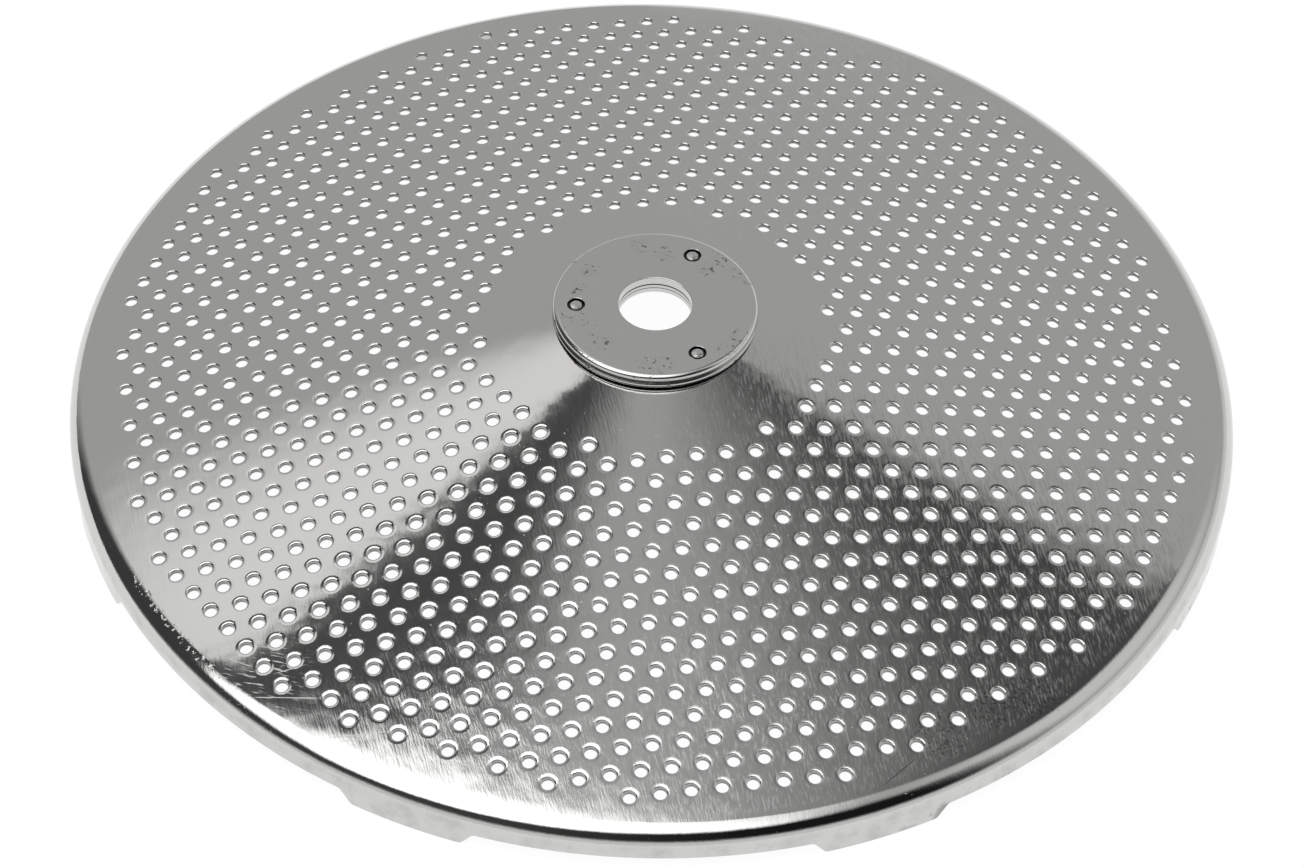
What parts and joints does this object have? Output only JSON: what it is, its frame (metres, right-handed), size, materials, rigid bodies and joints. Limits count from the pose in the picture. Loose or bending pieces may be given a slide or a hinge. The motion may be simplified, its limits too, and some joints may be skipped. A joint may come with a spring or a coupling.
{
  "type": "food mill disc",
  "caption": "Shallow conical stainless sieve disc with a punched wall, a turned-down rim on lugs and a riveted hub with a central bore, through which a food mill presses food.",
  "frame": {"origin": "on the disc's axis, in the plane of the lugs' feet", "axes": "+Z along the bore, from the feet of the lugs to the hub; a lug lies 22.9 degrees from +X towards +Y"},
  "size_m": [0.1606, 0.1606, 0.0215],
  "materials": {
    "sheet": "brushed, lightly scratched",
    "hub": "satin, lightly scuffed",
    "backing": "satin",
    "rivet": "satin"
  },
  "bodies": {
    "root": {"sieve_disc": "sheet", "hub_washer": "hub", "backing_washer": "backing", "hub_rivets": "rivet"}
  },
  "joints": []
}
